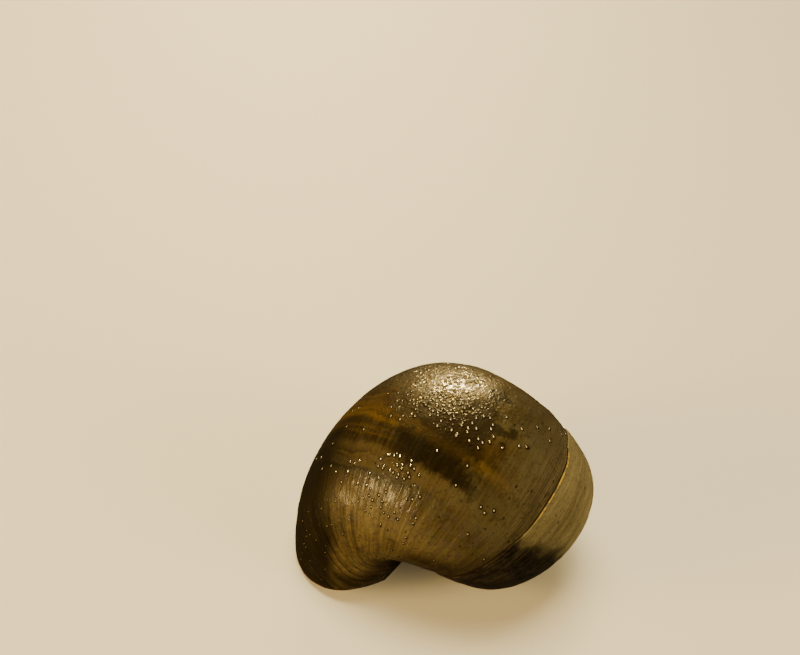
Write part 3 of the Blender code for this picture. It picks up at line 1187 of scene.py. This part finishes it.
@dataclass(frozen=True)
class Skin:
    """The foot's moist skin: grey brown, mottled, and finely wrinkled."""

    pale_tone: tuple = screen(146, 124, 92)
    dark_tone: tuple = screen(48, 40, 30)
    red_tone: tuple = screen(132, 92, 66)

    def material(self) -> bpy.types.Material:
        """Make the finish.

        Returns:
            The material.
        """
        pen = NodePen("foot_skin")
        place = pen.place()
        blotch = pen.noise(place, 380, 4.0, 0.6)
        colour = pen.mix(pen.ease(blotch, 0.40, 0.60), self.pale_tone, self.dark_tone)
        colour = pen.mix(pen.ease(pen.noise(place, 150, 2.0), 0.5, 0.65, 0.0, 0.5), colour, self.red_tone)
        tubercles = pen.cells(place, 1300)
        normal = pen.relief(pen.ease(tubercles, 0.6, 0.1), 0.10 * MM, 0.7)
        return pen.finish(
            Base_Color=colour,
            Roughness=pen.ease(blotch, 0.3, 0.7, 0.26, 0.42),
            Subsurface_Weight=0.15,
            Subsurface_Radius=(0.8, 0.4, 0.2),
            Subsurface_Scale=1.0 * MM,
            Coat_Weight=0.5,
            Coat_Roughness=0.12,
            Normal=normal,
        )


@dataclass(frozen=True)
class OldLip:
    """Where growth once stopped for long: a turn angle, a little ahead at the top and bottom."""

    turn: float = -2.848
    top_span: tuple[float, float] = (0.70, 1.0)
    top_lead: float = 0.06
    bottom_span: tuple[float, float] = (-0.1, -0.5)
    bottom_lead: float = 0.035

    def at(self, around: Array) -> Array:
        """The old lip's turn angle at section angles."""
        top = self.top_lead * ease(around, *self.top_span)
        return self.turn + top + self.bottom_lead * ease(around, *self.bottom_span)


@dataclass(frozen=True)
class Relief:
    """The outer wall's own shape: growth ridges, hammered dents, growth stops and a worn apex."""

    coil: Coil
    old_lip: OldLip = OldLip()
    step: float = 0.35 * MM
    step_fade: float = 0.35
    ridge: float = 0.06 * MM
    line: float = 0.03 * MM
    line_length: float = 0.85 * MM
    smooth: float = 0.6
    swell: float = 0.10 * MM
    dent: float = 0.08 * MM
    worn: float = 0.16 * MM
    small_stops: tuple[float, ...] = (-0.30, -0.66, -4.05, -5.2, -6.9, -8.4, -10.2, -12.6)
    small_step: float = 0.06 * MM
    small_rise: float = 0.012
    small_fade: float = 0.16

    def stops(self, turn: Array, around: Array) -> Array:
        """How far the wall is drawn in after each growth stop.

        Args:
            turn: Turn angles.
            around: Section angles.

        Returns:
            The distances.
        """
        after = turn - self.old_lip.at(around)
        drop = self.step * np.where(after > 0, np.maximum(0, 1 - after / self.step_fade), 0)
        for number, stop in enumerate(self.small_stops):
            after = turn - stop - 0.01 * Noise(60 + number).at(around * 3)
            drop += self.small_step * ease(after, 0, self.small_rise) * (1 - ease(after, 0, self.small_fade))
        return drop

    def depth(self, turn: Array, around: Array, place: Array) -> Array:
        """How far the wall lies under its smooth form.

        Args:
            turn: Turn angles.
            around: Section angles.
            place: Points in the shell's own frame.

        Returns:
            Depths, never below 0.
        """
        growth = self.coil.growth(turn)
        size = self.coil.scale(turn)
        small = np.minimum(1, size / 0.25)
        fine = Noise(1).at(growth / (0.85 * MM), around * 1.1)
        medium = Noise(2).at(growth / (1.9 * MM), around * 0.8)
        broad = Noise(3).at(growth / (6.5 * MM), around * 0.5)
        strength = 0.75 + 0.5 * Noise(4).at(growth / (9 * MM), around * 2.2)
        ridges = self.ridge * strength * (1 - (0.65 * fine + 0.35 * medium)) / 2
        jitter = Noise(8).at(growth / (2.6 * MM), around * 1.5)
        wave = 0.5 + 0.5 * np.cos(TURN * (growth / self.line_length + 0.45 * jitter))
        ridges += self.line * wave * (0.6 + 0.4 * Noise(9).at(growth / (4 * MM), around * 3))
        ridges *= 1 - self.smooth * ease(around, -0.45, -0.1) * ease(turn, -2.8, -2.6)
        swells = self.swell * (1 - broad) / 2
        axes = [place[..., axis] for axis in range(3)]
        hammered = Noise(5).at(*(axis / (3.1 * MM) for axis in axes))
        finer = Noise(6).at(*(axis / (1.6 * MM) for axis in axes))
        dents = self.dent * (ease(hammered, 0.0, 0.7) + 0.35 * ease(finer, 0.1, 0.8))
        pocks = Noise(7).at(*(axis / (0.7 * MM) for axis in axes))
        worn = self.worn * ease(turn, -16.0, -20.5) * ease(pocks, -0.2, 0.5)
        return small * (ridges + swells + dents + worn) + self.stops(turn, around) * np.minimum(1, size * 2)


@dataclass
class Shell:
    """The whole shell, from its first whorls to its lip, and hollow behind the mouth."""

    coil: Coil
    stance: Stance
    relief: Relief
    first_turn: float = -36.0
    mouth: float = -0.06
    hollow_end: float = -0.78
    wall: float = 1.2 * MM
    arc_step: float = 0.28 * MM
    widest_step: float = 0.07
    sink: float = 0.25 * MM
    deepest_sink: float = 1.2 * MM
    lip_profile: tuple[tuple[float, float], ...] = (
        (0.5, 0.0),
        (1.0, 0.0),
        (1.4, 0.02),
        (1.7, 0.07),
        (1.95, 0.17),
        (2.1, 0.32),
        (2.15, 0.5),
        (2.1, 0.68),
        (1.95, 0.84),
        (1.65, 0.98),
        (1.2, 1.08),
        (0.6, 1.17),
    )
    end_inset: float = 5.0 * MM
    heart: tuple[float, float] = (25 * MM, -40 * MM)
    callus: float = 0.14 * MM
    base_bend: float = 0.5
    edge_rings: int = 7
    rings: Rings = field(init=False)

    def __post_init__(self) -> None:
        """Set up the rings that the shell is wound from."""
        self.rings = Rings(self.coil)

    def turns(self) -> Array:
        """The turn angles of the outer wall's rings, by equal lengths along the whorl's side.

        Returns:
            The angles, from the apex to the mouth.
        """
        angles = [self.first_turn]
        while angles[-1] < self.mouth:
            reach = (self.coil.out + self.coil.half_width) * float(self.coil.scale(angles[-1]))
            angles.append(angles[-1] + min(self.widest_step, self.arc_step / reach))
        return np.array([*angles[:-1], self.mouth])

    def profile(self) -> tuple[Array, Array, Array]:
        """Every ring's turn angle, how far it is drawn in, and its gap to the older whorl.

        Returns:
            Three arrays, with one number for each ring.
        """
        outer = self.turns()
        reach = self.coil.out + self.coil.half_width
        lip_turns = np.array([self.mouth + ahead * MM / reach for ahead, _ in self.lip_profile])
        lip_insets = np.array([inset * MM for _, inset in self.lip_profile])
        back = np.linspace(self.mouth, self.hollow_end, 64)
        deeper = np.linspace(self.wall, self.end_inset, 5)[1:]
        turn = np.concatenate([outer, lip_turns, back, np.full(len(deeper), self.hollow_end)])
        inset = np.concatenate([np.zeros(len(outer)), lip_insets, np.full(len(back), self.wall), deeper])
        sunk = -np.minimum(self.sink, self.deepest_sink * self.coil.scale(turn))
        glaze = self.callus - self.wall + (self.wall - self.callus) * ease(turn, -0.05, -0.27)
        rise = np.clip(inset / self.wall, 0, 1)
        gap = sunk + (glaze - sunk) * rise
        return turn, inset, gap

    def build(self) -> bpy.types.Object:
        """Make the shell and dress it.

        Returns:
            The shell, riding on the frame.
        """
        turn, inset, gap = self.profile()
        outline, around, suture = self.rings.outline(turn, inset, gap)
        wide = np.repeat(turn[:, None], self.rings.count, 1)
        place = self.coil.place(wide, outline)
        outer = int(len(self.turns()) + len(self.lip_profile))
        grown = self.weather(wide, around, place, inset, outer)
        laid = self.stance.settle(grown)
        scale = self.coil.scale(wide)
        seam = np.maximum(0, suture[:, None] - around) * self.coil.half_height * scale
        first = self.stance.settle(place[0].mean(0)[None])[0]
        heart = self.coil.place(np.array(self.hollow_end), np.array(self.heart))
        last = self.stance.settle(heart[None])[0]
        bent = self.coil.growth(wide - self.base_bend * ease(around, -1.1, -2.2) ** 2)
        tracks = {Track.TURN: wide, Track.AROUND: around, Track.GROWTH: bent, Track.SEAM: seam}
        made = Loft("shell", laid, first, last).build(tracks)
        made.data.materials.append(Periostracum(self.relief.old_lip).material())
        made.data.materials.append(Porcelain().material())
        self.line_inside(made, outer)
        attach(made, "root")
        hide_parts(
            "shell_apex",
            "shell_spire_whorl",
            "shell_penultimate_whorl",
            "shell_body_whorl_early",
            "shell_body_whorl_late",
            "shell_outer_lip",
            "shell_inner_lip",
        )
        return made

    def weather(self, turn: Array, around: Array, place: Array, inset: Array, outer: int) -> Array:
        """Press the relief into the outer wall.

        Args:
            turn: Turn angles.
            around: Section angles.
            place: Smooth points in the shell's own frame.
            inset: How far each ring is drawn in.
            outer: How many of the rings are on the outside.

        Returns:
            The points with their relief.
        """
        along = np.gradient(place, axis=0)
        across = np.gradient(place, axis=1)
        normal = np.cross(along, across)
        normal /= np.maximum(np.linalg.norm(normal, axis=-1, keepdims=True), 1e-12)
        core = np.broadcast_to(np.array([self.coil.out, -self.coil.down]), (*turn.shape, 2))
        middle = self.coil.place(turn, core)
        normal *= np.sign(((place - middle) * normal).sum(-1, keepdims=True))
        depth = self.relief.depth(turn, around, place)
        wall = np.zeros(turn.shape)
        share = np.linspace(0, 1, self.rings.wall_points)
        wall[:outer, : self.rings.wall_points] = ease(share, 1.0, 0.93)
        wall *= ease(inset, 0.4 * MM, 0.0)[:, None]
        return place - normal * (depth * wall)[..., None]

    def line_inside(self, made: bpy.types.Object, outer: int) -> None:
        """Give the faces behind the lip, and the columella near the mouth, the inner finish.

        Args:
            made: The shell.
            outer: How many rings the outer wall has.
        """
        rows = np.arange(len(made.data.polygons)) // self.rings.count
        inner = rows >= outer - self.edge_rings
        made.data.polygons.foreach_set("material_index", inner.astype(np.int32))


@dataclass
class Foot:
    """The drawn-in foot: a plug in the mouth, with a wrinkled rim round the operculum."""

    coil: Coil
    stance: Stance
    back: float = -0.78
    front: float = -0.27
    inset: float = 1.5 * MM
    gap: float = 0.3 * MM
    rim_width: float = 0.9 * MM
    rim_height: float = 0.95 * MM
    wrinkle: float = 0.22 * MM
    end_draw: float = 3.5 * MM
    heart: tuple[float, float] = (25 * MM, -40 * MM)

    def build(self) -> bpy.types.Object:
        """Make the foot and dress it.

        Returns:
            The foot, riding on the frame.
        """
        rings = Rings(self.coil, 150, 14, 90)
        spans = [(self.back, self.inset + self.end_draw * (1 - s), self.gap) for s in (0.0, 0.5, 1.0)]
        spans += [(turn, self.inset, 0.0) for turn in np.linspace(self.back + 0.01, self.front, 34)]
        for part in np.linspace(0.08, 1.0, 14):
            rise = math.sin(math.pi * min(1.0, part * 0.62)) * self.rim_height
            spans.append((self.front, self.inset + self.rim_width * part, rise))
        spans += [(self.front, self.inset + self.rim_width + d, 0.0) for d in (0.02 * MM, 0.8 * MM, 2.0 * MM)]
        turn, inset, ahead = (np.array(column, float) for column in zip(*spans))
        outline, _, _ = rings.outline(turn, inset, np.full(len(turn), self.gap))
        wide = np.repeat(turn[:, None], rings.count, 1)
        place = self.coil.place(wide, outline, ahead[:, None])
        axes = [place[..., axis] for axis in range(3)]
        fold = Noise(21).at(*(axis / (1.5 * MM) for axis in axes))
        fold += 0.6 * Noise(22).at(*(axis / (0.7 * MM) for axis in axes))
        rim = (ahead > 0.3 * MM)[:, None] * np.minimum(1, outline[..., 0] / self.coil.tight_radius)
        way = np.stack([-np.sin(wide), -np.cos(wide), np.zeros_like(wide)], -1)
        place = place - way * (rim * self.wrinkle * ease(fold, -0.3, 1.0))[..., None]
        first = self.coil.place(np.array(self.back), np.array(self.heart), self.gap)
        last = self.coil.place(np.array(self.front), np.array(self.heart))
        first, last = (self.stance.settle(point[None])[0] for point in (first, last))
        made = Loft("foot_skin", self.stance.settle(place), first, last).build()
        made.data.materials.append(Skin().material())
        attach(made, "root")
        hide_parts("foot")
        return made


@dataclass
class Operculum:
    """The door on the foot: a horn plate with fine growth rings round its oldest point."""

    coil: Coil
    stance: Stance
    turn: float = -0.27
    inset: float = 2.7 * MM
    gap: float = 0.3 * MM
    thickness: float = 1.2 * MM
    ridge: float = 0.16 * MM
    end_inset: float = 5.0 * MM
    nucleus: tuple[float, float] = (23 * MM, -41 * MM)
    heart: tuple[float, float] = (25 * MM, -40 * MM)
    face_rings: int = 72
    edge_share: float = 0.22

    def build(self) -> bpy.types.Object:
        """Make the operculum and dress it.

        Returns:
            The operculum, riding on the frame.
        """
        rings = Rings(self.coil, 130, 10, 80)
        face = self.gap + self.thickness
        edge = [
            (self.end_inset, self.gap),
            (3.8 * MM, self.gap),
            (self.inset + 0.1 * MM, self.gap),
            (self.inset, self.gap + 0.1 * MM),
            (self.inset, face - 0.25 * MM),
            (self.inset + 0.08 * MM, face - 0.08 * MM),
        ]
        share = np.linspace(0.02, 1.0, self.face_rings)
        rim = share[share <= self.edge_share]
        rest = (share[share > self.edge_share] - self.edge_share) / (1 - self.edge_share)
        wave = 0.5 + 0.35 * Noise(31).at(share * 22) + 0.15 * np.sin(share * TURN * 11)
        dish = 0.35 * MM * ease(share, 0.0, 0.7)
        height = face - dish - self.ridge * np.clip(wave, 0, 1) * ease(share, 0.0, 0.08)
        insets = [inset for inset, _ in edge]
        start = self.inset + 0.1 * MM
        insets += list(start + (self.end_inset - start) * rim / self.edge_share)
        insets += [self.end_inset] * len(rest)
        ahead = np.array([a for _, a in edge] + list(height))
        inset = np.array(insets)
        turn = np.full(len(inset), self.turn)
        outline, _, _ = rings.outline(turn, inset, np.full(len(turn), self.gap))
        nucleus = np.array(self.nucleus)
        first_rest = len(inset) - len(rest)
        size = 1 - rest * 0.985
        outline[first_rest:] = nucleus + (outline[first_rest:] - nucleus) * size[:, None, None]
        wide = np.repeat(turn[:, None], rings.count, 1)
        spot = self.coil.place(wide, outline)
        way = np.stack([-np.sin(wide), -np.cos(wide), np.zeros_like(wide)], -1)
        place = spot + way * ahead[:, None, None]
        grown = np.concatenate([np.zeros(len(edge)), share])
        first = self.coil.place(np.array(self.turn), np.array(self.heart)) + way[0, 0] * self.gap
        last = self.coil.place(np.array(self.turn), nucleus) + way[0, 0] * height[-1]
        first, last = (self.stance.settle(point[None])[0] for point in (first, last))
        tracks = {Track.GROWTH: np.repeat(grown[:, None], rings.count, 1)}
        made = Loft("operculum_door", self.stance.settle(place), first, last).build(tracks)
        made.data.materials.append(Horn().material())
        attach(made, "root")
        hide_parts("operculum")
        return made


@dataclass(frozen=True)
class Lamp:
    """A soft rectangular light that faces the snail, and may show in its gloss only, or not there."""

    name: str
    way: tuple[float, float, float]
    distance: float
    width: float
    height: float
    power: float
    colour: tuple[float, float, float]
    mirrored: bool = True
    spread: bool = True

    def build(self, aim: Vector) -> bpy.types.Object:
        """Place the light.

        Args:
            aim: The point that it faces.

        Returns:
            The light.
        """
        data = bpy.data.lights.new(self.name, "AREA")
        data.shape = "RECTANGLE"
        data.size, data.size_y = self.width, self.height
        data.energy = self.power
        data.color = self.colour
        made = bpy.data.objects.new(self.name, data)
        way = Vector(self.way).normalized()
        made.location = aim + way * self.distance
        made.rotation_euler = way.to_track_quat("Z", "Y").to_euler()
        made.visible_glossy = self.mirrored
        made.visible_diffuse = self.spread
        bpy.context.scene.collection.objects.link(made)
        return made


@dataclass(frozen=True)
class Studio:
    """A plain pale floor, soft lights, and the camera at the photograph's angle."""

    aim: tuple[float, float, float] = (0.0, 0.0, 0.03)
    floor_radius: float = 2.0
    sweep: float = 0.9
    wall: float = 1.4
    floor_tone: tuple = screen(238, 220, 176)
    floor_cloud_tone: tuple = screen(240, 224, 184)
    near_glow: tuple = screen(40, 36, 28)
    far_glow: tuple = screen(190, 176, 142)
    wall_span: tuple[float, float] = (0.9, 2.6)
    air_tone: tuple = screen(236, 214, 170)
    air_strength: float = 0.07
    lens: float = 54.0
    sensor: float = 36.0
    eye: tuple[float, float, float] = (-15.65 * MM, -168.52 * MM, 204.67 * MM)
    eye_turn: tuple[float, float, float] = (48.4254, -6.8497, 5.7271)
    lamps: tuple[Lamp, ...] = (
        Lamp("window_light", (-0.16, 0.90, 0.44), 0.9, 0.46, 0.24, 6.6, (1.0, 0.63, 0.20), spread=False),
        Lamp("spark_light", (-0.16, 0.90, 0.49), 0.9, 0.30, 0.07, 48.0, (1.0, 0.72, 0.27), spread=False),
        Lamp("side_light", (-0.87, -0.42, 0.28), 0.9, 0.36, 0.36, 11.0, (1.0, 0.70, 0.26)),
        Lamp("edge_light", (0.92, -0.30, 0.42), 0.9, 0.40, 0.40, 5.0, (1.0, 0.88, 0.64), mirrored=False),
        Lamp("front_light", (-0.62, -0.75, 0.05), 1.0, 0.60, 0.40, 5.0, (1.0, 0.88, 0.62), mirrored=False),
        Lamp("fill_light", (-0.15, 0.12, 1.0), 1.4, 0.8, 0.8, 28.0, (1.0, 0.94, 0.80), mirrored=False),
    )

    def floor(self) -> bpy.types.Object:
        """Lay the floor, which sweeps up into a wall far behind the snail on every side.

        Returns:
            The floor.
        """
        profile = [(0.0, 0.0), (self.floor_radius, 0.0)]
        for angle in np.linspace(0, math.pi / 2, 14)[1:]:
            out = self.floor_radius + self.sweep * math.sin(angle)
            profile.append((out, self.sweep * (1 - math.cos(angle))))
        profile.append((profile[-1][0], profile[-1][1] + self.wall))
        mesh = bmesh.new()
        line = [mesh.verts.new((out, 0, up)) for out, up in profile]
        edges = [mesh.edges.new(pair) for pair in zip(line, line[1:])]
        full_turn = {"cent": (0, 0, 0), "axis": (0, 0, 1), "angle": TURN, "steps": 96}
        bmesh.ops.spin(mesh, geom=[*line, *edges], use_merge=True, **full_turn)
        bmesh.ops.remove_doubles(mesh, verts=mesh.verts, dist=1e-5)
        bmesh.ops.recalc_face_normals(mesh, faces=mesh.faces)
        data = bpy.data.meshes.new("floor")
        mesh.to_mesh(data)
        mesh.free()
        data.shade_smooth()
        made = bpy.data.objects.new("floor", data)
        made.visible_glossy = False
        made.visible_diffuse = False
        bpy.context.scene.collection.objects.link(made)
        pen = NodePen("studio_floor")
        tone = pen.mix(pen.noise(pen.place(), 3.0, 2.0), self.floor_tone, self.floor_cloud_tone)
        out = pen.node("ShaderNodeVectorMath", {"operation": "LENGTH"}, Vector=pen.place()).outputs["Value"]
        # The floor glows, which is painted light: faint near the snail and brighter on the far wall.
        glow = pen.mix(pen.ease(out, *self.wall_span), self.near_glow, self.far_glow)
        data.materials.append(
            pen.finish(
                Base_Color=tone,
                Roughness=0.65,
                Specular_IOR_Level=0.2,
                Emission_Color=glow,
                Emission_Strength=1.0,
            )
        )
        return made

    def camera(self) -> bpy.types.Object:
        """Set the camera up.

        Returns:
            The camera.
        """
        data = bpy.data.cameras.new("camera")
        data.lens, data.sensor_width = self.lens, self.sensor
        data.clip_start = 0.01
        made = bpy.data.objects.new("camera", data)
        made.location = self.eye
        made.rotation_euler = Euler([math.radians(a) for a in self.eye_turn], "XYZ")
        bpy.context.scene.collection.objects.link(made)
        bpy.context.scene.camera = made
        return made

    def air(self) -> None:
        """Fill the room with an even, faint light."""
        world = bpy.data.worlds.new("studio_air")
        world.use_nodes = True
        background = world.node_tree.nodes["Background"]
        background.inputs["Color"].default_value = self.air_tone
        background.inputs["Strength"].default_value = self.air_strength
        bpy.context.scene.world = world

    def build(self) -> None:
        """Set the whole studio up."""
        self.floor()
        self.camera()
        self.air()
        for lamp in self.lamps:
            lamp.build(Vector(self.aim))


def main() -> None:
    """Build the snail and its studio."""
    logging.basicConfig(level=logging.INFO, format="%(name)s: %(message)s")
    coil, stance = Coil(), Stance()
    Studio().build()
    for maker in (Shell(coil, stance, Relief(coil)), Foot(coil, stance), Operculum(coil, stance)):
        piece = maker.build()
        LOG.info("%s: %d faces", piece.name, len(piece.data.polygons))


if __name__ == "__main__":
    main()
